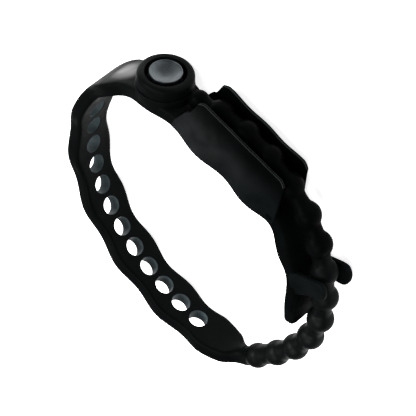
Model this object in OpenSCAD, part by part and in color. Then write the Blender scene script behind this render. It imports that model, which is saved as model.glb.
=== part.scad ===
// Beaded-tail conductive wrist strap: perforated contact band, snap boss,
// bead channel with two flexible leaves, two-prong yoke and a beaded tail.
// The loop lies on its rim: +Z is the loop axis. Units are millimetres.

/* [Band] */
// Thickness of the contact band
band_t = 3.2; // [2.8:0.1:3.4]
// Half width of the band at a crest of its scalloped rims
crest_z = 5.3; // [5.05:0.05:5.4]
// Extra half width of the strip under the channel and the snap
wide = 0.45; // [0:0.05:0.6]
// Depth of one scallop in each rim
scallop_d = 0.92; // [0.4:0.02:1.1]
// Diameter of the vent holes
hole_d = 4.15; // [3:0.05:4.3]
// Distance between vent holes along the inner face
hole_pitch = 5.38; // [5.3:0.01:5.45]

/* [Beaded tail] */
// Diameter of a bead
bead_d = 6.0; // [5:0.1:6.1]
// Diameter of the small bead at the free tip
tip_d = 4.4; // [3.6:0.1:4.6]
// Distance between bead centres
bead_pitch = 7.0; // [6.8:0.05:7.2]
// Diameter of the necks between beads
neck_d = 2.6; // [2:0.1:2.8]

/* [Bead channel] */
// Thickness of the two leaves
leaf_t = 0.7; // [0.5:0.05:0.8]
// Height of the leaves above their living hinge
leaf_h = 8.5; // [7:0.1:9]
// Inward lean of each leaf
leaf_lean = 4.5; // [2:0.5:4.5]

/* [Snap] */
// Diameter of the moulded flange under the collar
flange_d = 12.8; // [12:0.1:13]
// Outer diameter of the raised collar
collar_d = 12.3; // [11:0.1:12.4]
// Diameter of the metal stud
stud_d = 7.1; // [6.9:0.05:7.2]

/* [Hidden] */
$fn = 48;

// Moves the middle of the loop to the middle of the footprint, rim on z = 0
shift = [-0.56, 2.25, 6.4];
// Inner face of the loop at the middle of the channel
y0 = 18.6;
// Inner face, towards the snap and round the wrist: [length, radius], radius 0 is straight
loop = [[15, 0], [28, 18], [18, 30], [18, 34], [34, 46], [14, 17]];
// Inner face from the middle of the channel to the yoke end
yoke = [[12.35, 0], [5, -6], [5.66, 0], [14.24, -31.2], [8, 0]];
// Path positions of the scallops
scallops = [-41, -27.6, -14.4, -0.7, 14, 27.2, 39.2, 52, 65.1, 78.5, 92, 105.3];
// Path positions of the band's living hinges
hinges = [44.0, 60.14, 76.28, 92.42, 108.56];
first_hole = 46.7;
// Path position of the yoke strip's living hinge
yoke_hinge = -18.2;
// Path position of the prongs
prong_s = -28.3;
// Path position of the neck that joins the band to the beads
tail_s = 120;
// Direction of travel from each bead to the next
heads = [63, 69.6, 79.6, 93.6, 106, 117, 128, 141, 156, 167, 178, 190, 198];
// Living hinge lines of leaves and prongs above the inner face
leaf_x = 3.6;
prong_x = 3.9;
snap_s = 20.9;
run = 0.05;
// Gap beside each knuckle that lets the links turn
relief = 0.45;
// Tongue between a bead and its knuckle, a little narrower than the knuckle
tongue_w = neck_d - 0.24;

// State [x, y, heading] after one arc of signed radius r and length l
function arc(p, l, r) = r == 0
  ? [p[0] + l * cos(p[2]), p[1] + l * sin(p[2]), p[2]]
  : let (d = l / r * 180 / PI)
    [p[0] + r * (sin(p[2] + d) - sin(p[2])), p[1] - r * (cos(p[2] + d) - cos(p[2])), p[2] + d];
function walk(p, segs, s, i = 0) = (s <= 0 || i >= len(segs)) ? p
  : walk(arc(p, min(s, segs[i][0]), segs[i][1]), segs, s - segs[i][0], i + 1);
function turned(p) = [p[0], p[1], p[2] + 180];
function at(s) = s >= 0 ? walk([0, y0, 180], loop, s) : turned(walk([0, y0, 0], yoke, -s));
function out(p, x) = [p[0] + x * sin(p[2]), p[1] - x * cos(p[2])];
// Strip thickness: the yoke end thins towards its tip
function thick(s) = s > -24 ? band_t : band_t - (-24 - s) * 0.06;
// The scallops under the channel and the snap are further out
function extra(s) = s > -16 && s < 30 ? wide : 0;
// Vent holes and hinge pivots
holes = [for (i = [0:11]) first_hole + i * hole_pitch];
function pivot(s) = out(at(s), band_t / 2);
// Bead centres: the first one follows the tapered end of the band
neck0 = out(at(tail_s), band_t / 2);
function ray(p, a, l) = [p[0] + l * cos(a), p[1] + l * sin(a)];
function step_len(i) = i < 12 ? bead_pitch : bead_pitch - 1.2;
function bead_at(i) = i == 0 ? ray(neck0, 60, bead_pitch / 2) : ray(bead_at(i - 1), heads[i - 1], step_len(i - 1));
function neck_at(i) = i == 0 ? neck0 : ray(bead_at(i - 1), heads[i - 1], bead_pitch / 2);

module on(s) { p = at(s); translate([p[0], p[1], 0]) rotate([0, 0, p[2] - 90]) children(); }
// Strip outline between two path positions
module strip2d(a, b, n = 14) {
  ss = [for (i = [0:n]) a + (b - a) * i / n];
  polygon(concat([for (s = ss) out(at(s), 0)], [for (i = [n:-1:0]) out(at(ss[i]), thick(ss[i]))]));
}
module strip(a, b, n = 14, e = 0) linear_extrude(2 * (crest_z + e), center = true) strip2d(a, b, n);
// Round notches that make the scalloped rims between two positions
module scallop_cuts(a, b) {
  r = 12.5;
  for (s = scallops) if (s > a - 6 && s < b + 6)
    for (k = [-1, 1]) on(s) translate([-3, 0, k * (crest_z + extra(s) - scallop_d + r)]) rotate([0, 90, 0]) rotate(90) cylinder(r = r, h = 10, $fn = 96);
}
module vent_cuts(a, b) {
  for (s = holes) if (s > a - 4 && s < b + 4)
    on(s) translate([-2, 0, 0]) rotate([0, 90, 0]) cylinder(d = hole_d, h = band_t + 4, $fn = 40);
}
module knuckle(s, gap = 0) { p = pivot(s); translate([p[0], p[1], 0]) cylinder(r = band_t / 2 - 0.06 + gap, h = 2 * crest_z + (gap > 0 ? 2 : 0), center = true); }
// A perforated link between two living hinges
module band_piece(a, b, n = 14) {
  difference() {
    union() { strip(a + relief, b, n); knuckle(b); }
    knuckle(a, run);
    scallop_cuts(a, b);
    vent_cuts(a, b);
  }
}
// Round bead turned about Z, with its profile in 15 degree steps
module ball(d, a) rotate([0, 0, a]) rotate_extrude($fn = 72) polygon([for (k = [-6:6]) [k == -6 || k == 6 ? 0 : d / 2 * cos(k * 15), d / 2 * sin(k * 15)]]);
// Bead with a tongue and round knuckle towards the tip, and a pocket for the knuckle before it
module bead_body(i) {
  c = bead_at(i);
  last = i == 13;
  translate(shift) difference() {
    union() {
      translate([c[0], c[1], 0]) ball(last ? tip_d : bead_d, last ? 100 : heads[i] + 97);
      if (!last) {
        n = neck_at(i + 1);
        translate([c[0], c[1], 0]) rotate([0, 0, heads[i]]) translate([0, -tongue_w / 2, -tongue_w / 2]) cube([bead_pitch / 2, tongue_w, tongue_w]);
        translate([n[0], n[1], 0]) cylinder(d = neck_d, h = neck_d, center = true);
      }
    }
    s = neck_at(i);
    translate([s[0], s[1], 0]) cylinder(d = neck_d + 2 * run, h = neck_d + 4 * run, center = true);
  }
}

// Straight strip under the channel, with the two side walls that carry the leaves
module clasp_strip() color([0.07, 0.07, 0.08]) translate(shift) difference() {
  union() {
    difference() { strip(yoke_hinge, 15, 30, wide); scallop_cuts(yoke_hinge, 15); }
    knuckle_root();
    for (k = [-1, 1]) translate([-14.3, y0 + band_t - 1.6, k > 0 ? 3.6 : -4.7]) cube([28.6, leaf_x - band_t + 1.6, 1.1]);
  }
  // Grooves that take the leaves' rolled roots
  for (k = [-1, 1]) translate([-16, y0 + leaf_x, k * 4.3]) rotate([0, 90, 0]) cylinder(r = leaf_t / 2 + run, h = 32);
}
module knuckle_root() difference() { knuckle(yoke_hinge); scallop_cuts(yoke_hinge - 4, yoke_hinge + 4); }

// Arched floor that the beads lie on
module bead_rail() color([0.06, 0.06, 0.07]) translate(shift) translate([0, 0, -2.5]) linear_extrude(5)
  intersection() {
    translate([-10.6, y0 + band_t]) square([21.6, 6]);
    translate([0.8, y0 - 28.75]) circle(r = 35, $fn = 180);
  }

// Outline of a leaf above its hinge line, with the stepped snap-side edge
module leaf2d(wave) polygon(concat(
  [[14.2, 0], [14.0, 1.5], [12.6, leaf_h - 1.2], [12.1, leaf_h - 0.4], [11.4, leaf_h]],
  [for (i = [1:11]) [11.4 - i * 1.95, leaf_h + wave * sin(i * 54)]],
  [[-11.7, leaf_h - 0.1], [-12.2, leaf_h - 1.0], [-12.5, leaf_h - 3.2], [-13.1, leaf_h - 3.9], [-14.2, 1.2], [-14.3, 0]]));
module leaf(wave) {
  translate([0, y0 + leaf_x, 4.3]) {
    rotate([-leaf_lean, 0, 0]) translate([0, 0, -leaf_t / 2]) linear_extrude(leaf_t) leaf2d(wave);
    translate([-14.2, 0, 0]) rotate([0, 90, 0]) cylinder(d = leaf_t, h = 28.4);
  }
}
module front_leaf() color([0.08, 0.08, 0.09]) translate(shift) leaf(0);
module rear_leaf() color([0.08, 0.08, 0.09]) translate(shift) mirror([0, 0, 1]) leaf(0.22);

// Curved part of the band that carries the snap
module band_lead() color([0.07, 0.07, 0.08]) translate(shift) difference() {
  union() { strip(15, hinges[0], 28, wide); knuckle(hinges[0]); }
  scallop_cuts(15, hinges[0] + 2);
  vent_cuts(40, hinges[0] + 2);
  on(snap_s) rotate([0, 90, 0]) {
    translate([0, 0, 1.8]) cylinder(d = flange_d, h = 4, $fn = 96);
    translate([0, 0, -1]) cylinder(d = 3, h = 6);
    translate([0, 0, -2]) cylinder(d = 8, h = 2.6);
  }
}
// Moulded round flange, standing 0.9 mm proud of the band
module snap_flange() color([0.07, 0.07, 0.08]) translate(shift) on(snap_s) rotate([0, 90, 0]) difference() {
  translate([0, 0, 1.8]) cylinder(d = flange_d, h = 2.3, $fn = 96);
  translate([0, 0, 1]) cylinder(d = 3, h = 6);
}
// Raised collar that guards the stud, with a broad rounded shoulder
module snap_collar() color([0.06, 0.06, 0.07]) translate(shift) on(snap_s) rotate([0, 90, 0]) translate([0, 0, 4.1])
  rotate_extrude($fn = 96) polygon([[4.5, 0], [collar_d / 2 + 0.1, 0], [collar_d / 2 + 0.05, 1.5], [collar_d / 2 - 0.1, 2.2], [collar_d / 2 - 0.4, 2.7], [collar_d / 2 - 0.85, 3.0], [collar_d / 2 - 1.3, 3.1], [4.7, 3.1], [4.5, 2.9]]);
// Dished metal stud
module snap_stud() color([0.5, 0.52, 0.55]) translate(shift) on(snap_s) rotate([0, 90, 0]) translate([0, 0, 4.1]) difference() {
  union() { cylinder(d = 8.6, h = 0.3, $fn = 96); cylinder(d = stud_d, h = 3.25, $fn = 96); }
  translate([0, 0, 12.3]) sphere(r = 9.7, $fn = 120);
  translate([0, 0, -1]) cylinder(d = 3, h = 2);
}
// Rivet post through band and flange
module snap_post() color([0.5, 0.52, 0.55]) translate(shift) on(snap_s) rotate([0, 90, 0]) translate([0, 0, 0.6]) cylinder(d = 3, h = 4.5);
// Metal plate against the skin, flush in the inner face
module snap_back_plate() color([0.62, 0.63, 0.65]) translate(shift) on(snap_s) rotate([0, 90, 0]) intersection() {
  cylinder(d = 8, h = 0.6);
  translate([0, 0, 0.1]) cylinder(d = 8, h = 0.5);
}

// Free end under the beads, with two short webs for the prongs
module yoke_strip() color([0.07, 0.07, 0.08]) translate(shift) difference() {
  union() {
    difference() {
      intersection() {
        strip(-42, yoke_hinge - relief, 26);
        on(-38.8) translate([-2, 0, 0]) rotate([0, 90, 0]) linear_extrude(10)
          polygon([[-8, 40], [8, 40], [8, 0], [4.9, 0], [4.7, -0.9], [4.0, -1.6], [3.0, -2], [-3.0, -2], [-4.0, -1.6], [-4.7, -0.9], [-4.9, 0], [-8, 0]]);
      }
      scallop_cuts(-41, yoke_hinge);
    }
    for (k = [-1, 1]) on(prong_s) translate([1.5, -2.6, k > 0 ? 3.4 : -4.7]) cube([prong_x - 1.5, 5.2, 1.3]);
  }
  knuckle(yoke_hinge, run);
  for (k = [-1, 1]) on(prong_s) translate([prong_x, 0, k * 4.05]) rotate([90, 0, 0]) cylinder(r = 0.65 + run, h = 8, center = true);
}
// Outline of a prong: height above its hinge line, position along the strip
front_tip = [[0, -2.6], [1.6, -2.0], [3.2, -1.7], [5.0, -1.7], [6.1, -0.9], [6.4, 0.5], [6.2, 1.8], [5.3, 2.7], [2.4, 2.6], [0, 2.6]];
rear_tip = [[0, -2.6], [2.6, -2.6], [4.3, -2.9], [5.6, -2.3], [6.5, -1.1], [6.9, 0.5], [6.8, 1.7], [5.8, 2.7], [2.4, 2.6], [0, 2.6]];
module prong(tip) on(prong_s) {
  translate([prong_x, 0, 4.05]) rotate([90, 0, 0]) cylinder(r = 0.65, h = 5.2, center = true);
  translate([prong_x, 0, 3.4]) linear_extrude(1.3) polygon(tip);
}
module front_prong() color([0.08, 0.08, 0.09]) translate(shift) prong(front_tip);
module rear_prong() color([0.08, 0.08, 0.09]) translate(shift) mirror([0, 0, 1]) prong(rear_tip);

module band_link_1() color([0.07, 0.07, 0.08]) translate(shift) band_piece(hinges[0], hinges[1]);
module band_link_2() color([0.07, 0.07, 0.08]) translate(shift) band_piece(hinges[1], hinges[2], 11);
module band_link_3() color([0.07, 0.07, 0.08]) translate(shift) band_piece(hinges[2], hinges[3]);
module band_link_4() color([0.07, 0.07, 0.08]) translate(shift) band_piece(hinges[3], hinges[4]);
// Solid end that narrows from the band to the bead string
module tail_taper() color([0.07, 0.07, 0.08]) translate(shift) {
  difference() {
    strip(hinges[4] + relief, tail_s - 0.4, 10);
    knuckle(hinges[4], run);
    scallop_cuts(hinges[4], hinges[4] + 2);
    vent_cuts(hinges[4] - 4, hinges[4]);
    for (k = [-1, 1]) on(114.3) translate([-3, 0, k * 3.6]) rotate([k * -13, 0, 0]) translate([0, -8, k > 0 ? 0 : -8]) cube([10, 20, 8]);
  }
  p = at(tail_s);
  translate([neck0[0], neck0[1], 0]) cylinder(d = neck_d, h = neck_d, center = true);
  translate([neck0[0], neck0[1], 0]) rotate([0, 0, p[2] + 180]) translate([0, -tongue_w / 2, -tongue_w / 2]) cube([2, tongue_w, tongue_w]);
}
module bead_01() color([0.08, 0.08, 0.09]) bead_body(0);
module bead_02() color([0.08, 0.08, 0.09]) bead_body(1);
module bead_03() color([0.08, 0.08, 0.09]) bead_body(2);
module bead_04() color([0.08, 0.08, 0.09]) bead_body(3);
module bead_05() color([0.08, 0.08, 0.09]) bead_body(4);
module bead_06() color([0.08, 0.08, 0.09]) bead_body(5);
module bead_07() color([0.08, 0.08, 0.09]) bead_body(6);
module bead_08() color([0.08, 0.08, 0.09]) bead_body(7);
module bead_09() color([0.08, 0.08, 0.09]) bead_body(8);
module bead_10() color([0.08, 0.08, 0.09]) bead_body(9);
module bead_11() color([0.08, 0.08, 0.09]) bead_body(10);
module bead_12() color([0.08, 0.08, 0.09]) bead_body(11);
module bead_13() color([0.08, 0.08, 0.09]) bead_body(12);
module tip_bead() color([0.08, 0.08, 0.09]) bead_body(13);

clasp_strip();
bead_rail();
front_leaf();
rear_leaf();
band_lead();
snap_flange();
snap_collar();
snap_stud();
snap_post();
snap_back_plate();
yoke_strip();
front_prong();
rear_prong();
band_link_1();
band_link_2();
band_link_3();
band_link_4();
tail_taper();
bead_01();
bead_02();
bead_03();
bead_04();
bead_05();
bead_06();
bead_07();
bead_08();
bead_09();
bead_10();
bead_11();
bead_12();
bead_13();
tip_bead();
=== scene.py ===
import math
import bpy
import bmesh
import numpy as np
from mathutils import Matrix, Vector


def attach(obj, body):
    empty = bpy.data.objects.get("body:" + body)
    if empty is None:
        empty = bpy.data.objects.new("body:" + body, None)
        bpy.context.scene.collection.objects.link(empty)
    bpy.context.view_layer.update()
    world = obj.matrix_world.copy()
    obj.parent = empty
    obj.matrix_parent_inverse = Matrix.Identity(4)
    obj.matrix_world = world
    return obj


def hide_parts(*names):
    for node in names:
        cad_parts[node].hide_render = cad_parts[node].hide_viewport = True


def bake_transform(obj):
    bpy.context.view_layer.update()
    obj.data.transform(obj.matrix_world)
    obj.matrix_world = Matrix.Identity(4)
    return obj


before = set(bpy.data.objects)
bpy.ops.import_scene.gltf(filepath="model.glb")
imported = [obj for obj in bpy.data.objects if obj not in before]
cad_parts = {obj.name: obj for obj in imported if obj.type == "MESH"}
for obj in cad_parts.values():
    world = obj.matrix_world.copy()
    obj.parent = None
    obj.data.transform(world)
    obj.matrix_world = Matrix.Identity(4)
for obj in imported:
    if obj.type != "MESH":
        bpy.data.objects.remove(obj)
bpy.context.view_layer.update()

MM = 0.001

# ---------------------------------------------------------------- geometry of the strap, in millimetres
SHIFT = np.array([-0.56, 2.25, 6.4])
Y0, T = 18.6, 3.2
LOOP = [(15, 0), (28, 18), (18, 30), (18, 34), (34, 46), (14, 17)]
YOKE = [(12.35, 0), (5, -6), (5.66, 0), (14.24, -31.2), (8, 0)]
NOTCH = [-41, -27.6, -14.4, -0.7, 14.0, 27.2, 39.2, 52, 65.1, 78.5, 92, 105.3, 118.8, 132]
HINGES = [44.0, 60.14, 76.28, 92.42, 108.56]
YOKE_HINGE, PRONG_S, TAIL_S, SNAP_S = -18.2, -28.3, 120.0, 20.9
HOLE0, PITCH, HOLE_R = 46.7, 5.38, 2.06
HEADS = [63, 69.6, 79.6, 93.6, 106, 117, 128, 141, 156, 167, 178, 190, 198]
LAND0 = HOLE0 - PITCH / 2


def arc(p, l, r):
    a = math.radians(p[2])
    if r == 0:
        return (p[0] + l * math.cos(a), p[1] + l * math.sin(a), p[2])
    d = math.degrees(l / r)
    b = math.radians(p[2] + d)
    return (p[0] + r * (math.sin(b) - math.sin(a)), p[1] - r * (math.cos(b) - math.cos(a)), p[2] + d)


def walk(p, segs, s):
    for l, r in segs:
        if s <= 0:
            break
        p = arc(p, min(s, l), r)
        s -= l
    if s > 0:
        p = arc(p, s, 0)
    return p


def at(s):
    """Point on the inner face and heading at path position s."""
    if s >= 0:
        return walk((0, Y0, 180), LOOP, s)
    q = walk((0, Y0, 0), YOKE, -s)
    return (q[0], q[1], q[2] + 180)


def normal(s):
    a = math.radians(at(s)[2])
    return np.array([math.sin(a), -math.cos(a), 0.0])


def along(s):
    a = math.radians(at(s)[2])
    return np.array([math.cos(a), math.sin(a), 0.0])


def place(s, x, z):
    """Millimetre position in the strap's own frame of path position s, height x above the inner face, and z."""
    p = at(s)
    n = normal(s)
    return np.array([p[0] + x * n[0], p[1] + x * n[1], z])


def ray(p, a, l):
    return np.array([p[0] + l * math.cos(math.radians(a)), p[1] + l * math.sin(math.radians(a)), 0.0])


NECK0 = place(TAIL_S, T / 2, 0)
NECKS, BEADS = [NECK0], [ray(NECK0, 60, 3.5)]
for i, a in enumerate(HEADS):
    NECKS.append(ray(BEADS[-1], a, 3.5))
    BEADS.append(ray(BEADS[-1], a, 7.0 if i < 12 else 5.8))
BEAD_NODES = ["bead_%02d" % (i + 1) for i in range(13)] + ["tip_bead"]
PAIR = ["tail_pair_%d" % (i // 2 + 1) for i in range(14)]


def metres(p):
    return (np.asarray(p, float) + SHIFT) * MM


def smooth(t):
    t = min(1.0, max(0.0, t))
    return t * t * (3 - 2 * t)


TAPER = ([104, 107, 109, 110.5, 112, 113.5, 115, 116.5, 118, 119.5, 121], [6.2, 5.6, 5.3, 5.12, 4.88, 4.55, 4.1, 3.5, 2.86, 2.4, 2.15])


def half_width(s):
    """Half width of the strip between its scalloped rims: wider under the channel and the snap."""
    k = max(0, min(len(NOTCH) - 2, int(np.searchsorted(NOTCH, s)) - 1))
    u = (s - NOTCH[k]) / (NOTCH[k + 1] - NOTCH[k])
    wide = smooth((s + 21) / 7) * (1 - smooth((s - 30) / 9))
    w = 4.98 + 0.45 * wide - (0.46 + 0.06 * wide) * math.cos(2 * math.pi * u)
    if s < -39.2:
        w = min(w, 3.1 + math.sqrt(max(0.0, 2.26 - (-39.2 - s) ** 2)))
    if s > 104:
        w = smin(w, float(np.interp(s, TAPER[0], TAPER[1])), 0.2)
    return w


def smin(a, b, k):
    return 0.5 * (a + b - math.sqrt((a - b) ** 2 + k * k))


def thickness(s):
    if s < -24:
        return T - (-24 - s) * 0.06
    return T


# ---------------------------------------------------------------- mesh helpers
MARKS = {}


def new_object(name, verts, faces, sharp_faces=(), weld=0.002, marked=()):
    """Mesh object from millimetre vertices; caps keep a hard edge, everything else is smooth."""
    me = bpy.data.meshes.new(name)
    me.from_pydata([tuple(metres(v)) for v in verts], [], faces)
    for i in marked:
        me.polygons[i].material_index = 1
    bm = bmesh.new()
    bm.from_mesh(me)
    bm.faces.ensure_lookup_table()
    hard_caps = len(sharp_faces) > 0
    for f in bm.faces:
        f.smooth = True
    if weld:
        bmesh.ops.remove_doubles(bm, verts=bm.verts, dist=weld * MM)
    bmesh.ops.dissolve_degenerate(bm, edges=bm.edges, dist=1e-7)
    for f in bm.faces:
        if hard_caps and len(f.verts) > 8:
            f.smooth = False
            for e in f.edges:
                e.smooth = False
    bmesh.ops.recalc_face_normals(bm, faces=bm.faces)
    bm.to_mesh(me)
    bm.free()
    ob = bpy.data.objects.new(name, me)
    bpy.context.scene.collection.objects.link(ob)
    MARKS[name] = [f.index for f in me.polygons if f.material_index == 1]
    return ob


def second_material(ob, mat):
    """Gives the marked faces of a finished piece a material of their own."""
    ob.data.materials.append(mat)
    for i in MARKS[ob.name]:
        ob.data.polygons[i].material_index = 1


def grid_faces(rows, cols, close=False, base=0):
    f = []
    for i in range(rows - 1):
        for j in range(cols - (0 if close else 1)):
            k = (j + 1) % cols
            f.append((base + i * cols + j, base + i * cols + k, base + (i + 1) * cols + k, base + (i + 1) * cols + j))
    return f


RC, M1, M2, NR = 0.62, 16, 12, 7


def ring(s):
    """Closed section at path position s: inner face, upper rim, outer face, lower rim. Entries are (x, z)."""
    w, t = half_width(s), thickness(s)
    rc = min(RC, w * 0.9, t * 0.45)
    zf = w - rc
    pts = [(0.0, zf * (2 * i / M1 - 1)) for i in range(M1 + 1)]
    arc_pts = []
    for k in range(1, NR + 1):
        f = math.pi * k / (NR + 1)
        # corner arcs with a flat rim between them
        c = 1 if f > math.pi / 2 else 0
        xx = (rc - rc * math.cos(2 * f)) if f <= math.pi / 4 else ((t - rc) + rc * math.cos(2 * (math.pi - f))) if f >= 3 * math.pi / 4 else rc + (t - 2 * rc) * (f - math.pi / 4) / (math.pi / 2)
        zz = rc * math.sin(2 * f) if f <= math.pi / 4 else rc * math.sin(2 * (math.pi - f)) if f >= 3 * math.pi / 4 else rc
        arc_pts.append((xx, zz))
    pts += [(x, zf + z) for x, z in arc_pts]
    pts += [(t, zf * (1 - 2 * i / M1)) for i in range(M1 + 1)]
    pts += [(x, -zf - z) for x, z in reversed(arc_pts)]
    return pts


def sweep(name, stations, cap_start=True, cap_end=True):
    verts, n = [], None
    for s in stations:
        r = ring(s)
        n = len(r)
        verts += [place(s, x, z) for x, z in r]
    faces = grid_faces(len(stations), n, close=True)
    caps = []
    if cap_start:
        caps.append(len(faces))
        faces.append(tuple(range(n - 1, -1, -1)))
    if cap_end:
        caps.append(len(faces))
        faces.append(tuple(range((len(stations) - 1) * n, len(stations) * n)))
    return verts, faces, caps


def steps(a, b, d=0.55):
    n = max(2, int(round((b - a) / d)))
    return [a + (b - a) * i / n for i in range(n + 1)]


def hole_cell(sc):
    """Patch of band round one vent hole: both faces, the rounded hole wall and both rims. Returns verts, faces, wall faces."""
    a, b = sc - PITCH / 2, sc + PITCH / 2
    cols = [a + (b - a) * j / M2 for j in range(M2 + 1)]
    verts, faces = [], []

    def zf(s):
        w = half_width(s)
        return w - min(RC, w * 0.9)

    # boundary loop in (s, z), counter-clockwise from the lower left corner
    loop = [(c, -zf(c)) for c in cols[:-1]]
    loop += [(b, zf(b) * (2 * i / M1 - 1)) for i in range(M1)]
    loop += [(c, zf(c)) for c in reversed(cols[1:])]
    loop += [(a, zf(a) * (1 - 2 * i / M1)) for i in range(M1)]
    n = len(loop)
    ang = [math.atan2(z, s - sc) for s, z in loop]
    fil = 0.26
    K = 7
    for outer in (False, True):
        base = len(verts)
        for k in range(K + 1):
            f = (k / K) ** 0.8
            for (s, z), th in zip(loop, ang):
                cs, cz = sc + (HOLE_R + fil) * math.cos(th), (HOLE_R + fil) * math.sin(th)
                ss, zz = s + (cs - s) * f, z + (cz - z) * f
                verts.append(place(ss, T if outer else 0.0, zz))
        faces += grid_faces(K + 1, n, close=True, base=base)
    base = len(verts)
    prof = []
    for k in range(5):
        f = math.pi / 2 * k / 4
        prof.append((HOLE_R + fil * (1 - math.sin(f)), fil * (1 - math.cos(f))))
    prof += [(HOLE_R, T * q) for q in (0.3, 0.5, 0.7)]
    prof += [(r, T - x) for r, x in reversed(prof[:5])]
    for r, x in prof:
        for th in ang:
            verts.append(place(sc + r * math.cos(th), x, r * math.sin(th)))
    wall = len(faces) + 2 * n
    faces += grid_faces(len(prof), n, close=True, base=base)
    wall = range(wall, len(faces))
    # rims
    for sign in (1, -1):
        base = len(verts)
        for c in cols:
            r = ring(c)
            top = r[M1:M1 + NR + 2]
            verts += [place(c, x, sign * z) for x, z in top]
        faces += grid_faces(len(cols), NR + 2, base=base)
    return verts, faces, wall


def band_piece(name, parts, cap_start=True, cap_end=True):
    """Joins plain stretches and hole cells into one piece. parts: ("plain", a, b) or ("hole", centre)."""
    verts, faces, caps, marked = [], [], [], []
    for p in parts:
        if p[0] == "plain":
            v, f, _ = sweep(name, steps(p[1], p[2], 0.12 if p[1] < -39 else 0.55), False, False)
        else:
            v, f, wall = hole_cell(p[1])
            marked += [len(faces) + i for i in wall]
        o = len(verts)
        verts += v
        faces += [tuple(i + o for i in q) for q in f]
    for s, on in ((parts[0][1] if parts[0][0] == "plain" else parts[0][1] - PITCH / 2, cap_start),
                  (parts[-1][2] if parts[-1][0] == "plain" else parts[-1][1] + PITCH / 2, cap_end)):
        if on:
            r = ring(s)
            o = len(verts)
            verts += [place(s, x, z) for x, z in r]
            caps.append(len(faces))
            faces.append(tuple(range(o, o + len(r))))
    return new_object(name, verts, faces, caps, weld=0.004, marked=marked)


def lathe(name, profile, base, axis, n=96, closed=True):
    """Turned piece: profile is (radius, height) along axis from base."""
    axis = np.asarray(axis, float)
    u = np.array([0, 0, 1.0])
    v = np.cross(axis, u)
    verts, faces = [], []
    for r, h in profile:
        for j in range(n):
            t = 2 * math.pi * j / n
            verts.append(base + axis * h + (u * math.cos(t) + v * math.sin(t)) * max(r, 1e-4))
    m = len(profile)
    faces = grid_faces(m, n, close=True)
    if closed:
        for j in range(n):
            k = (j + 1) % n
            faces.append(((m - 1) * n + j, (m - 1) * n + k, k, j))
    return new_object(name, verts, faces, weld=0.003)


def fillet(cx, cy, r, a0, a1, n=6):
    return [(cx + r * math.cos(math.radians(a0 + (a1 - a0) * i / n)), cy + r * math.sin(math.radians(a0 + (a1 - a0) * i / n))) for i in range(n + 1)]


# ---------------------------------------------------------------- materials
def nodes_of(m):
    m.use_nodes = True
    nt = m.node_tree
    return nt, nt.nodes, nt.links, nt.nodes["Principled BSDF"]


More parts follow.
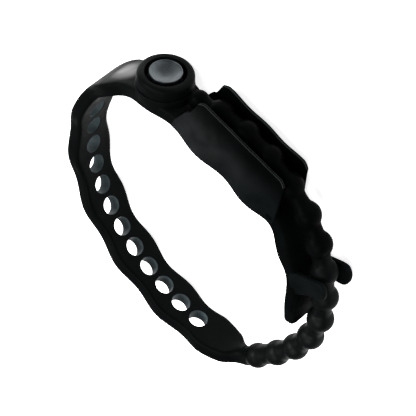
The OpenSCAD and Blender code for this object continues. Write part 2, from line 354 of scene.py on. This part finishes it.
def elastomer(name, dark, light, rough_lo, rough_hi, level=0.14, grain=0.05, polish=None, painted_shade=None, mottle=0.0, coat_rough=0.45):
    """Black moulded elastomer: uneven carbon black, soft sheen, fine matt grain from the mould and faint handling
    marks; an optional painted shade darkens it towards one side.
    """
    m = bpy.data.materials.new(name)
    nt, N, L, p = nodes_of(m)
    tc = N.new("ShaderNodeTexCoord")
    big = N.new("ShaderNodeTexNoise")
    big.inputs["Scale"].default_value = 170
    big.inputs["Detail"].default_value = 5
    big.inputs["Roughness"].default_value = 0.6
    L.new(tc.outputs["Object"], big.inputs["Vector"])
    ramp = N.new("ShaderNodeValToRGB")
    ramp.color_ramp.elements[0].position = 0.32
    ramp.color_ramp.elements[0].color = (*dark, 1)
    ramp.color_ramp.elements[1].position = 0.72
    ramp.color_ramp.elements[1].color = (*light, 1)
    L.new(big.outputs["Fac"], ramp.inputs["Fac"])
    shade_gain = None
    if painted_shade:
        # painted shade: colour and coat darkened towards one side, where shade falls: (y where it starts, y where it is
        # full, factor)
        sep = N.new("ShaderNodeSeparateXYZ")
        L.new(tc.outputs["Object"], sep.inputs[0])
        shade_gain = N.new("ShaderNodeMapRange")
        shade_gain.interpolation_type = "SMOOTHSTEP"
        shade_gain.inputs["From Min"].default_value = (painted_shade[0] + SHIFT[1]) * MM
        shade_gain.inputs["From Max"].default_value = (painted_shade[1] + SHIFT[1]) * MM
        shade_gain.inputs["To Min"].default_value = 1.0
        shade_gain.inputs["To Max"].default_value = painted_shade[2]
        L.new(sep.outputs["Y"], shade_gain.inputs["Value"])
        shade_multiply = N.new("ShaderNodeMix")
        shade_multiply.data_type = "RGBA"
        shade_multiply.blend_type = "MULTIPLY"
        shade_multiply.inputs[0].default_value = 1.0
        L.new(ramp.outputs["Color"], shade_multiply.inputs[6])
        L.new(shade_gain.outputs["Result"], shade_multiply.inputs[7])
        L.new(shade_multiply.outputs[2], p.inputs["Base Color"])
    else:
        L.new(ramp.outputs["Color"], p.inputs["Base Color"])
    fine = N.new("ShaderNodeTexNoise")
    fine.inputs["Scale"].default_value = 2600
    fine.inputs["Detail"].default_value = 3
    L.new(tc.outputs["Object"], fine.inputs["Vector"])
    rr = N.new("ShaderNodeMapRange")
    rr.inputs["From Min"].default_value = 0.3
    rr.inputs["From Max"].default_value = 0.7
    rr.inputs["To Min"].default_value = rough_lo
    rr.inputs["To Max"].default_value = rough_hi
    mid = N.new("ShaderNodeTexNoise")
    mid.inputs["Scale"].default_value = 420
    mid.inputs["Detail"].default_value = 4
    L.new(tc.outputs["Object"], mid.inputs["Vector"])
    L.new(mid.outputs["Fac"], rr.inputs["Value"])
    if polish:
        # handling polish round one place: (centre in mm, inner and outer radius in mm, coat weight, roughness factor)
        d = N.new("ShaderNodeVectorMath")
        d.operation = "DISTANCE"
        d.inputs[1].default_value = tuple(metres(polish[0]))
        L.new(tc.outputs["Object"], d.inputs[0])
        for k, (low, high, target) in enumerate(((polish[3], 0.0, "Coat Weight"), (polish[4], 1.0, "Roughness"))):
            mr = N.new("ShaderNodeMapRange")
            mr.interpolation_type = "SMOOTHSTEP"
            mr.inputs["From Min"].default_value = polish[1] * MM
            mr.inputs["From Max"].default_value = polish[2] * MM
            mr.inputs["To Min"].default_value = low
            mr.inputs["To Max"].default_value = high
            L.new(d.outputs["Value"], mr.inputs["Value"])
            if k:
                mul = N.new("ShaderNodeMath")
                mul.operation = "MULTIPLY"
                L.new(rr.outputs["Result"], mul.inputs[0])
                L.new(mr.outputs["Result"], mul.inputs[1])
                L.new(mul.outputs[0], p.inputs[target])
            else:
                last = mr.outputs["Result"]
                if mottle:
                    # uneven sheen left by the mould
                    patchy = N.new("ShaderNodeTexNoise")
                    patchy.inputs["Scale"].default_value = 230
                    patchy.inputs["Detail"].default_value = 3
                    patchy.inputs["Distortion"].default_value = 0.15
                    L.new(tc.outputs["Object"], patchy.inputs["Vector"])
                    spread = N.new("ShaderNodeMapRange")
                    spread.inputs["From Min"].default_value = 0.3
                    spread.inputs["From Max"].default_value = 0.7
                    spread.inputs["To Min"].default_value = 1.0 - mottle
                    spread.inputs["To Max"].default_value = 1.0 + mottle
                    L.new(patchy.outputs["Fac"], spread.inputs["Value"])
                    m1 = N.new("ShaderNodeMath")
                    m1.operation = "MULTIPLY"
                    L.new(last, m1.inputs[0])
                    L.new(spread.outputs["Result"], m1.inputs[1])
                    last = m1.outputs[0]
                # the painted shade dims the coat as well
                if shade_gain:
                    m2 = N.new("ShaderNodeMath")
                    m2.operation = "MULTIPLY"
                    L.new(last, m2.inputs[0])
                    L.new(shade_gain.outputs["Result"], m2.inputs[1])
                    last = m2.outputs[0]
                L.new(last, p.inputs[target])
    else:
        L.new(rr.outputs["Result"], p.inputs["Roughness"])
    b1 = N.new("ShaderNodeBump")
    b1.inputs["Strength"].default_value = grain
    b1.inputs["Distance"].default_value = 0.0001
    L.new(fine.outputs["Fac"], b1.inputs["Height"])
    b2 = N.new("ShaderNodeBump")
    b2.inputs["Strength"].default_value = 0.05
    b2.inputs["Distance"].default_value = 0.0003
    L.new(mid.outputs["Fac"], b2.inputs["Height"])
    L.new(b1.outputs["Normal"], b2.inputs["Normal"])
    L.new(b2.outputs["Normal"], p.inputs["Normal"])
    p.inputs["IOR"].default_value = 1.5
    p.inputs["Specular IOR Level"].default_value = level
    p.inputs["Coat Roughness"].default_value = coat_rough
    return m


SNAP_AXIS = normal(SNAP_S)
SNAP_BASE = place(SNAP_S, 0, 0)


def turned_metal(name, dark, light, rough, rings=0.4, shade=None):
    """Pressed and turned metal with concentric lines round the snap's axis."""
    m = bpy.data.materials.new(name)
    nt, N, L, p = nodes_of(m)
    tc = N.new("ShaderNodeTexCoord")
    sub = N.new("ShaderNodeVectorMath")
    sub.operation = "SUBTRACT"
    sub.inputs[1].default_value = tuple(metres(SNAP_BASE))
    L.new(tc.outputs["Object"], sub.inputs[0])
    cross = N.new("ShaderNodeVectorMath")
    cross.operation = "CROSS_PRODUCT"
    cross.inputs[1].default_value = tuple(SNAP_AXIS)
    L.new(sub.outputs[0], cross.inputs[0])
    dist = N.new("ShaderNodeVectorMath")
    dist.operation = "LENGTH"
    L.new(cross.outputs[0], dist.inputs[0])
    noise = N.new("ShaderNodeTexNoise")
    noise.noise_dimensions = "1D"
    noise.inputs["Scale"].default_value = 5200
    noise.inputs["Detail"].default_value = 3
    L.new(dist.outputs["Value"], noise.inputs["W"])
    speck = N.new("ShaderNodeTexNoise")
    speck.inputs["Scale"].default_value = 900
    speck.inputs["Detail"].default_value = 5
    L.new(tc.outputs["Object"], speck.inputs["Vector"])
    ramp = N.new("ShaderNodeValToRGB")
    ramp.color_ramp.elements[0].position = 0.3
    ramp.color_ramp.elements[0].color = (*dark, 1)
    ramp.color_ramp.elements[1].position = 0.7
    ramp.color_ramp.elements[1].color = (*light, 1)
    mix = N.new("ShaderNodeMath")
    mix.operation = "MULTIPLY_ADD"
    mix.inputs[1].default_value = 0.5
    L.new(noise.outputs["Fac"], mix.inputs[0])
    half = N.new("ShaderNodeMath")
    half.operation = "MULTIPLY"
    half.inputs[1].default_value = 0.5
    L.new(speck.outputs["Fac"], half.inputs[0])
    L.new(half.outputs[0], mix.inputs[2])
    L.new(mix.outputs[0], ramp.inputs["Fac"])
    if shade:
        # painted shade in the dish, deepest just off its middle, standing in for the dark reflection of the concave
        # face
        away = N.new("ShaderNodeVectorMath")
        away.operation = "DISTANCE"
        away.inputs[1].default_value = tuple(metres(shade[0]))
        L.new(tc.outputs["Object"], away.inputs[0])
        fade = N.new("ShaderNodeMapRange")
        fade.interpolation_type = "SMOOTHSTEP"
        fade.inputs["From Min"].default_value = shade[1] * MM
        fade.inputs["From Max"].default_value = shade[2] * MM
        fade.inputs["To Min"].default_value = shade[3]
        fade.inputs["To Max"].default_value = 1.0
        L.new(away.outputs["Value"], fade.inputs["Value"])
        shade_mix = N.new("ShaderNodeMix")
        shade_mix.data_type = "RGBA"
        shade_mix.blend_type = "MULTIPLY"
        shade_mix.inputs[0].default_value = 1.0
        L.new(ramp.outputs["Color"], shade_mix.inputs[6])
        L.new(fade.outputs["Result"], shade_mix.inputs[7])
        L.new(shade_mix.outputs[2], p.inputs["Base Color"])
    else:
        L.new(ramp.outputs["Color"], p.inputs["Base Color"])
    rr = N.new("ShaderNodeMapRange")
    rr.inputs["To Min"].default_value = rough - 0.08
    rr.inputs["To Max"].default_value = rough + 0.1
    L.new(speck.outputs["Fac"], rr.inputs["Value"])
    L.new(rr.outputs["Result"], p.inputs["Roughness"])
    b = N.new("ShaderNodeBump")
    b.inputs["Strength"].default_value = rings
    b.inputs["Distance"].default_value = 0.00003
    L.new(noise.outputs["Fac"], b.inputs["Height"])
    L.new(b.outputs["Normal"], p.inputs["Normal"])
    p.inputs["Metallic"].default_value = 1.0
    return m


MAT_BAND = elastomer("band_elastomer", (0.0004, 0.0006, 0.0006), (0.0009, 0.0012, 0.0012), 0.42, 0.56, level=0.012,
                     polish=(place(30.0, T + 2.2, -0.6), 2.3, 5.3, 0.60, 0.85), mottle=0.35, coat_rough=0.33)
# hole walls: painted reflection, paler colour standing in for the surroundings they mirror
MAT_VENT_REFLECTION = elastomer("vent_wall_painted_reflection", (0.013, 0.019, 0.0205), (0.030, 0.041, 0.044), 0.5, 0.65, level=0.06)
# painted shade darkens the leaf towards its top edge
MAT_LEAF = elastomer("leaf_elastomer", (0.0010, 0.0014, 0.0015), (0.0025, 0.0030, 0.0031), 0.42, 0.60, level=0.005,
                     polish=(place(11.5, 3.5, 5), 3.0, 22.0, 0.115, 1.0), painted_shade=(Y0 + 5.0, Y0 + 11.0, 0.16), mottle=0.6, coat_rough=0.5)
# painted highlight along the top edges of both leaves
MAT_EDGE_HIGHLIGHT = elastomer("leaf_edge_painted_highlight", (0.0045, 0.0055, 0.0053), (0.0115, 0.013, 0.0128), 0.5, 0.65, level=0.03)
# painted shade: a darker copy of the leaf material for the rear leaf, whose face lies in the shade of the channel
MAT_REAR_SHADED = elastomer("rear_leaf_painted_shade", (0.0002, 0.0003, 0.0003), (0.0005, 0.0007, 0.0007), 0.50, 0.64, level=0.002)
# painted shade darkens the beads towards the channel
MAT_BEAD = elastomer("bead_elastomer", (0.0006, 0.0009, 0.0009), (0.0018, 0.0021, 0.0022), 0.36, 0.50, level=0.005,
                     polish=(BEADS[2], 10.0, 42.0, 0.055, 1.0), painted_shade=(Y0 - 6, Y0 + 4, 0.3), mottle=0.5, coat_rough=0.42)
MAT_SNAP = elastomer("snap_housing_plastic", (0.0005, 0.0007, 0.0007), (0.0012, 0.0015, 0.0015), 0.40, 0.52, level=0.012, grain=0.03,
                     polish=(place(SNAP_S + 6.0, 6.0, 1.2), 1.0, 8.5, 0.11, 1.0), mottle=0.5, coat_rough=0.45)
MAT_YOKE = elastomer("yoke_elastomer", (0.0004, 0.0006, 0.0006), (0.0010, 0.0013, 0.0013), 0.52, 0.66, level=0.004)
# centre of the painted shade in the stud's dish
SHADE = place(SNAP_S, 6.6, -0.95) + along(SNAP_S) * 0.8
MAT_STUD = turned_metal("snap_stud_metal", (0.030, 0.0345, 0.0365), (0.058, 0.066, 0.070), 0.36, shade=(SHADE, 0.7, 4.0, 0.26))
MAT_PLATE = turned_metal("skin_plate_metal", (0.055, 0.056, 0.055), (0.105, 0.106, 0.103), 0.34)


def finish_piece(ob, mat):
    ob.data.materials.clear()
    ob.data.materials.append(mat)
    return ob


def ends(s0, s1, x=T / 2):
    return tuple(metres(place(s0, x, 0))), tuple(metres(place(s1, x, 0)))


# ---------------------------------------------------------------- band, strip and tail
def hole_at(i):
    return HOLE0 + i * PITCH


yoke_end = band_piece("yoke_end_piece", [("plain", -40.8, -38.9), ("plain", -38.9, -24.0)])
finish_piece(yoke_end, MAT_YOKE)
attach(yoke_end, "yoke")
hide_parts("yoke_strip")

yoke_bend = band_piece("yoke_bend_piece", [("plain", -24.0, -12.4)])
finish_piece(yoke_bend, MAT_YOKE)
ends(-21.0, -15.4)
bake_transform(yoke_bend)

strip_main = band_piece("channel_strip_piece", [("plain", -12.4, 37.5)])
finish_piece(strip_main, MAT_BAND)
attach(strip_main, "root")
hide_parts("clasp_strip", "band_lead")

spans = [[("plain", 37.5, LAND0), ("hole", hole_at(0))],
         [("hole", hole_at(1)), ("hole", hole_at(2)), ("hole", hole_at(3))],
         [("hole", hole_at(4)), ("hole", hole_at(5)), ("hole", hole_at(6))],
         [("hole", hole_at(7)), ("hole", hole_at(8)), ("hole", hole_at(9))],
         [("hole", hole_at(10)), ("hole", hole_at(11)), ("plain", LAND0 + 12 * PITCH, 112.6)]]
for k, parts in enumerate(spans):
    ob = band_piece("band_piece_%d" % (k + 1), parts)
    finish_piece(ob, MAT_BAND)
    second_material(ob, MAT_VENT_REFLECTION)  # the punched walls are painted paler than the skin, a painted reflection of the bright surroundings
    ends(HINGES[k] - 2.6, HINGES[k] + 2.6)
    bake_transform(ob)
    if k < 4:
        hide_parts("band_link_%d" % (k + 1))
    else:
        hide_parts("tail_taper")


def smax(a, b, k=0.5):
    return 0.5 * (a + b + math.sqrt((a - b) ** 2 + k * k))


def ball_r(u, R):
    return math.sqrt(max(0.0, R * R - u * u))


def bead_profile(u, L, Ra, Rb, rn=2.05):
    return smax(rn, max(ball_r(u, Ra), ball_r(L - u, Rb)), 0.36) - 0.02


def direction(a):
    return np.array([math.cos(math.radians(a)), math.sin(math.radians(a)), 0.0])


NB = 40


def bead_radius(k):
    return (2.78, 2.84, 2.9)[k] if k < 3 else (2.2 if k == 13 else 2.98)


def neck_radius(k):
    """Moulded neck before bead k."""
    return (2.15, 2.3, 2.25, 2.15)[k] if k < 4 else 2.02


def bead_link(name, k):
    """Half of one bead, the neck and half of the next bead (k: bead index at the start)."""
    a = HEADS[k]
    A, B = BEADS[k], BEADS[k + 1]
    L = float(np.linalg.norm(B - A))
    last = k == 12
    Ra, Rb = bead_radius(k), bead_radius(k + 1)
    d = direction(a)
    before = HEADS[k - 1] if k else 60
    after = HEADS[k + 1] if not last else a
    b0, b1 = direction((before + a) / 2), direction((a + after) / 2)
    us = [L * 0.5 * (1 - math.cos(math.pi * i / 36)) for i in range(37)]
    us = sorted(set([round(u, 5) for u in us] + [round(L * i / 22, 5) for i in range(23)]))
    rings = []
    for u in us:
        r = bead_profile(u, L, Ra, Rb, neck_radius(k + 1) if not last else 1.6)
        if u < L / 2:
            f = smooth(u / 2.4)
            n = b0 * (1 - f) + d * f
            n /= np.linalg.norm(n)
            c = A + n * u
        else:
            f = smooth((L - u) / 2.0)
            n = b1 * (1 - f) + d * f
            n /= np.linalg.norm(n)
            c = B - n * (L - u)
        rings.append((c, n, r))
    if last:
        for i in range(1, 13):
            t = math.pi / 2 * i / 12
            rings.append((B + d * Rb * math.sin(t), d, max(1e-3, (bead_profile(L, L, Ra, Rb, 1.6)) * math.cos(t))))
    verts = []
    up = np.array([0, 0, 1.0])
    for c, n, r in rings:
        side = np.cross(n, up)
        for j in range(NB):
            t = 2 * math.pi * j / NB
            verts.append(c + r * (math.cos(t) * up + math.sin(t) * side))
    faces = grid_faces(len(rings), NB, close=True)
    caps = [len(faces)]
    faces.append(tuple(range(NB - 1, -1, -1)))
    if not last:
        caps.append(len(faces))
        faces.append(tuple(range((len(rings) - 1) * NB, len(rings) * NB)))
    ob = new_object(name, verts, faces, caps, weld=0.0015)
    finish_piece(ob, MAT_BEAD)
    if PAIR[k] == PAIR[k + 1]:
        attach(ob, PAIR[k])
    else:
        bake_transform(ob)
    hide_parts(BEAD_NODES[k + 1])
    return ob


def tail_root():
    """From the tapered end of the band into the first bead."""
    rows = []
    for s in steps(112.6, 119.3, 0.35):
        r = ring(s)
        t, w = thickness(s), half_width(s)
        f = smooth((s - 115.5) / 3.8)
        row = []
        for x, z in r:
            th = math.atan2(z / w, (x - t / 2) / (t / 2))
            rad = neck_radius(0)
            cx, cz = T / 2 + rad * math.cos(th), rad * math.sin(th)
            x0 = x + (T - t) / 2
            row.append(place(s, x0 + (cx - x0) * f, z + (cz - z) * f))
        rows.append(row)
    n = len(rows[0])
    r = ring(119.3)
    t, w = thickness(119.3), half_width(119.3)
    ths = [math.atan2(z / w, (x - t / 2) / (t / 2)) for x, z in r]
    B = BEADS[0]
    d = direction(60)
    b1 = direction((60 + HEADS[0]) / 2)
    L = 3.5
    up = np.array([0, 0, 1.0])
    for i in range(1, 27):
        q = i / 26
        u = L * q
        rr = bead_profile(7 - (L - u), 7, bead_radius(0), bead_radius(0), neck_radius(0))
        f = smooth((L - u) / 2.0)
        nrm = b1 * (1 - f) + d * f
        nrm /= np.linalg.norm(nrm)
        c = B - nrm * (L - u)
        side = np.cross(nrm, up)
        rows.append([c + rr * (math.cos(th) * side + math.sin(th) * up) for th in ths])
    verts = [v for row in rows for v in row]
    faces = grid_faces(len(rows), n, close=True)
    caps = [len(faces), len(faces) + 1]
    faces.append(tuple(range(n - 1, -1, -1)))
    faces.append(tuple(range((len(rows) - 1) * n, len(rows) * n)))
    ob = new_object("tail_root_piece", verts, faces, caps, weld=0.0015)
    finish_piece(ob, MAT_BAND)
    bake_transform(ob)
    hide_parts("bead_01")
    return ob


tail_root()
for k in range(13):
    bead_link("bead_piece_%02d" % (k + 1), k)


# ---------------------------------------------------------------- leaves of the bead channel
def leaf_left(v):
    """Snap-side edge of a leaf, with its small step."""
    pts = [(0, -14.7), (2.4, -14.6), (5.2, -13.7), (6.6, -13.2), (7.2, -12.5), (9.5, -12.1), (11.4, -11.9), (12.2, -11.7)]
    return float(np.interp(v, [p[0] for p in pts], [p[1] for p in pts]))


def leaf_right(v):
    pts = [(0, 14.9), (2.0, 14.8), (6.0, 13.8), (9.8, 12.9), (11.2, 12.6), (12.2, 12.4)]
    return float(np.interp(v, [p[0] for p in pts], [p[1] for p in pts]))


def leaf_piece(name, sign, node, wave, top, lean, mat):
    nu, nv = 60, 34

    def surf(u, j):
        # v is the height above the inner face
        tu = 1 - 0.75 * (max(0.0, (0.06 - u) / 0.06) ** 2) * 0.9 - 0.75 * (max(0.0, (u - 0.94) / 0.06) ** 2) * 0.9
        vt = top - (1 - tu) * 1.6 + wave * math.sin(2 * math.pi * (u * 2.2 + 0.15)) + 0.05 * math.sin(9 * u)
        v = 0.3 + (vt - 0.3) * j
        x = leaf_left(v) + (leaf_right(v) - leaf_left(v)) * u
        w = half_width(-x)
        if v < 2.9:
            z = w - RC + math.sqrt(max(0.0, RC * RC - max(0.0, RC - v) ** 2)) + 0.02
        else:
            f = (v - 2.9) / (top - 2.9)
            z = (w + 0.02) * (1 - smooth(f * 1.15)) + 4.62 * smooth(f * 1.15)
            z = z - lean * f
            z += 0.04 * math.sin(0.7 * x + 1.1) * f
        th = 0.80 - 0.2 * min(1.0, max(0.0, (v - 3) / 6)) if v > 1.0 else 0.5
        return np.array([x, Y0 + v, z]), th

    outer, inner, edge = [], [], []
    P = [[surf(i / nu, j / nv) for i in range(nu + 1)] for j in range(nv + 1)]
    verts = []
    for j in range(nv + 1):
        for i in range(nu + 1):
            verts.append(P[j][i][0])
    for j in range(nv + 1):
        for i in range(nu + 1):
            p, th = P[j][i]
            verts.append(p - np.array([0, 0, th]))
    W = nu + 1
    faces = grid_faces(nv + 1, W)
    o = (nv + 1) * W
    faces += [tuple(reversed(f)) for f in grid_faces(nv + 1, W, base=o)]
    # rounded free edge
    border = [(0, i) for i in range(W)] + [(j, nu) for j in range(1, nv + 1)] + [(nv, i) for i in range(nu - 1, -1, -1)] + [(j, 0) for j in range(nv - 1, 0, -1)]
    rows = [[j * W + i for j, i in border]]
    cen = np.mean([P[j][i][0] for j, i in border], axis=0)
    m = len(border)
    for t, lift in ((0.06, 0.10), (0.16, 0.15), (0.27, 0.10), (0.38, -0.03), (0.5, -0.06), (0.62, -0.03), (0.73, 0.10), (0.84, 0.15), (0.94, 0.10)):
        row = []
        for q, (j, i) in enumerate(border):
            p, th = P[j][i]
            a, b = P[border[q - 1][0]][border[q - 1][1]][0], P[border[(q + 1) % m][0]][border[(q + 1) % m][1]][0]
            tan = b - a
            nrm = np.array([tan[1], -tan[0], 0.0])
            nrm /= np.linalg.norm(nrm) + 1e-9
            if nrm @ (p - cen) < 0:
                nrm = -nrm
            row.append(len(verts))
            verts.append(p - np.array([0, 0, th * t]) + nrm * lift)
        rows.append(row)
    rows.append([o + j * W + i for j, i in border])
    marked = []
    for r, (a, b) in enumerate(zip(rows[:-1], rows[1:])):
        for q in range(m):
            k = (q + 1) % m
            # faces along the top edge take the painted highlight material
            if r in (0, 1, 2, 7, 8, 9) and border[q][0] == nv and border[k][0] == nv:
                marked.append(len(faces))
            faces.append((a[q], a[k], b[k], b[q]))
    if sign < 0:
        verts = [np.array([v[0], v[1], -v[2]]) for v in verts]
    ob = new_object(name, verts, faces, weld=0, marked=marked)
    finish_piece(ob, mat)
    second_material(ob, MAT_EDGE_HIGHLIGHT)
    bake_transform(ob)
    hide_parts(node)
    return ob


leaf_piece("front_leaf_piece", 1, "front_leaf", 0.04, 12.05, 0.62, MAT_LEAF)
leaf_piece("rear_leaf_piece", -1, "rear_leaf", 0.2, 12.1, 0.55, MAT_REAR_SHADED)


# ---------------------------------------------------------------- prongs of the yoke
def chaikin(pts, n=3):
    for _ in range(n):
        q = []
        for a, b in zip(pts, pts[1:] + pts[:1]):
            q.append((0.75 * a[0] + 0.25 * b[0], 0.75 * a[1] + 0.25 * b[1]))
            q.append((0.25 * a[0] + 0.75 * b[0], 0.25 * a[1] + 0.75 * b[1]))
        pts = q
    return pts


def prong_piece(name, sign, node, tip):
    outline = chaikin([(1.0, -3.2)] + tip + [(1.0, 3.1)], 3)
    z0, z1 = 3.42, 4.68
    bm = bmesh.new()
    vs = [bm.verts.new(tuple(metres(place(PRONG_S, 0, 0) + normal(PRONG_S) * x + along(PRONG_S) * y + np.array([0, 0, sign * z0])))) for x, y in outline]
    f = bm.faces.new(vs)
    ext = bmesh.ops.extrude_face_region(bm, geom=[f])
    for v in [g for g in ext["geom"] if isinstance(g, bmesh.types.BMVert)]:
        v.co.z += sign * (z1 - z0) * MM
    bmesh.ops.recalc_face_normals(bm, faces=bm.faces)
    rim = [e for e in bm.edges if abs(e.verts[0].co.z - e.verts[1].co.z) < 1e-7 and e.is_manifold]
    bmesh.ops.bevel(bm, geom=rim, offset=0.42 * MM, segments=5, affect="EDGES", profile=0.5, clamp_overlap=True)
    for q in bm.faces:
        q.smooth = True
    me = bpy.data.meshes.new(name)
    bm.to_mesh(me)
    bm.free()
    ob = bpy.data.objects.new(name, me)
    bpy.context.scene.collection.objects.link(ob)
    finish_piece(ob, MAT_LEAF)
    q = place(PRONG_S, 0, 0)
    n = normal(PRONG_S)
    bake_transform(ob)
    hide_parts(node)
    return ob


prong_piece("front_prong_piece", 1, "front_prong",
            [(3.6, -2.6), (5.6, -1.7), (7.6, -1.7), (9.4, -1.9), (10.6, -0.7), (10.7, 1.3), (10.0, 2.9), (6.6, 2.8), (3.4, 2.8)])
prong_piece("rear_prong_piece", -1, "rear_prong",
            [(3.6, -2.8), (6.4, -2.8), (8.4, -3.3), (9.9, -2.6), (10.9, -0.9), (11.0, 1.1), (10.1, 2.6), (6.4, 2.7), (3.4, 2.8)])

# ---------------------------------------------------------------- snap
flange = lathe("snap_flange_piece", [(3.9, 1.95), (6.1, 1.95)] + fillet(6.13, 2.2, 0.25, -90, 0, 4) + fillet(6.2, 3.9, 0.18, 0, 90, 6)
               + [(5.9, 4.1), (3.9, 4.1)], SNAP_BASE, SNAP_AXIS)
finish_piece(flange, MAT_SNAP)
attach(flange, "root")
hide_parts("snap_flange")
collar = lathe("snap_collar_piece", [(4.5, 4.1), (6.1, 4.1), (6.22, 4.22), (6.2, 5.5)] + fillet(5.13, 6.14, 1.04, 4, 86, 12)
               + [(4.86, 7.19), (4.72, 7.17)] + fillet(4.64, 7.03, 0.14, 90, 180, 4) + [(4.5, 6.2)], SNAP_BASE, SNAP_AXIS)
finish_piece(collar, MAT_SNAP)
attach(collar, "root")
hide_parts("snap_collar")
dish = []
for i in range(19):
    r = 3.3 * (1 - i / 18)
    dish.append((r, 7.26 - 0.72 * (1 - (r / 3.3) ** 2) ** 0.9 - 0.012 * math.sin(r * 9.0)))
stud = lathe("snap_stud_piece", [(4.25, 4.12), (4.25, 4.36), (3.72, 4.42), (3.56, 4.56), (3.55, 5.6), (3.56, 7.0)] + fillet(3.42, 7.2, 0.14, 0, 150, 7) + dish
             + [(0.0, 5.2), (2.0, 5.2), (3.0, 4.12)], SNAP_BASE, SNAP_AXIS)
finish_piece(stud, MAT_STUD)
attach(stud, "root")
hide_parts("snap_stud")
# the plate is pressed to the curve of the inner face and stands a hair proud of it
plate_profile = [(0.0, -0.045), (1.2, -0.05), (2.4, -0.055), (3.3, -0.06), (3.62, -0.055), (3.8, -0.03), (3.92, 0.03), (3.97, 0.12), (3.97, 0.45), (0.0, 0.45)]
plate_verts = []
for r, h in plate_profile:
    for j in range(72):
        a = 2 * math.pi * j / 72
        plate_verts.append(place(SNAP_S + max(r, 1e-4) * math.cos(a), h, max(r, 1e-4) * math.sin(a)))
plate = new_object("skin_plate_piece", plate_verts, grid_faces(len(plate_profile), 72, close=True), weld=0.003)
finish_piece(plate, MAT_PLATE)
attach(plate, "root")
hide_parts("snap_back_plate")

for node, mat in (("bead_rail", MAT_REAR_SHADED), ("snap_post", MAT_STUD)):
    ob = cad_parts[node]
    ob.data.materials.clear()
    ob.data.materials.append(mat)

# ---------------------------------------------------------------- floor, light, camera
floor_mesh = bpy.data.meshes.new("floor")
floor_mesh.from_pydata([(-3, -3, 0), (3, -3, 0), (3, 3, 0), (-3, 3, 0)], [], [(0, 1, 2, 3)])
floor = bpy.data.objects.new("floor", floor_mesh)
bpy.context.scene.collection.objects.link(floor)
fm = bpy.data.materials.new("floor_paper")
nt, N, L, p = nodes_of(fm)
p.inputs["Base Color"].default_value = (0.9, 0.9, 0.9, 1)
p.inputs["Roughness"].default_value = 0.9
p.inputs["Emission Color"].default_value = (1, 1, 1, 1)
p.inputs["Emission Strength"].default_value = 0.8
floor_mesh.materials.append(fm)

world = bpy.data.worlds.new("studio")
world.use_nodes = True
world.node_tree.nodes["Background"].inputs["Color"].default_value = (0.93, 0.96, 1.0, 1)
world.node_tree.nodes["Background"].inputs["Strength"].default_value = 0.6
bpy.context.scene.world = world
bpy.context.scene.view_settings.view_transform = "Standard"


def area(name, loc, target, size, power, colour=(1, 1, 1)):
    d = bpy.data.lights.new(name, "AREA")
    d.shape = "DISK"
    d.size = size
    d.energy = power
    d.color = colour
    o = bpy.data.objects.new(name, d)
    bpy.context.scene.collection.objects.link(o)
    o.location = loc
    o.rotation_euler = (Vector(target) - Vector(loc)).to_track_quat("-Z", "Y").to_euler()
    return o


# Camera axes in the strap's frame: right, down and forward
D_PX, PX_MM = 2732.0, 4.7
x0, y0r, z0 = np.array([.617, .787, 0.0]), np.array([.445, -.349, -.825]), np.array([-.649, .509, -.565])
al = math.radians(11.9)
XA, YA, ZA = x0 * math.cos(al) + y0r * math.sin(al), -x0 * math.sin(al) + y0r * math.cos(al), z0
right, down, fwd = [Vector((XA[i], YA[i], ZA[i])).normalized() for i in range(3)]
fwd = right.cross(down).normalized()
down = fwd.cross(right).normalized()
cam_data = bpy.data.cameras.new("camera")
cam_data.sensor_width = 36.0
cam_data.lens = 36.0 * D_PX / 416.0
cam_data.clip_start, cam_data.clip_end = 0.01, 10
cam = bpy.data.objects.new("camera", cam_data)
bpy.context.scene.collection.objects.link(cam)
origin = Vector(tuple(metres([0, 0, 0])))
loc = origin - fwd * (D_PX / PX_MM * MM) + (right - down) * (0.17 * MM)
cam.matrix_world = Matrix.Translation(loc) @ Matrix((right, -down, -fwd)).transposed().to_4x4()
bpy.context.scene.camera = cam

c = origin
area("key", c + Vector((-0.55, 0.25, 0.85)), c, 0.7, 21)
area("top", c + Vector((0.35, 0.1, 1.1)), c, 1.0, 20)
area("back", c + Vector((-0.45, -0.75, 0.6)), c, 0.5, 1.5, (0.93, 0.97, 1.0))

bpy.context.view_layer.update()
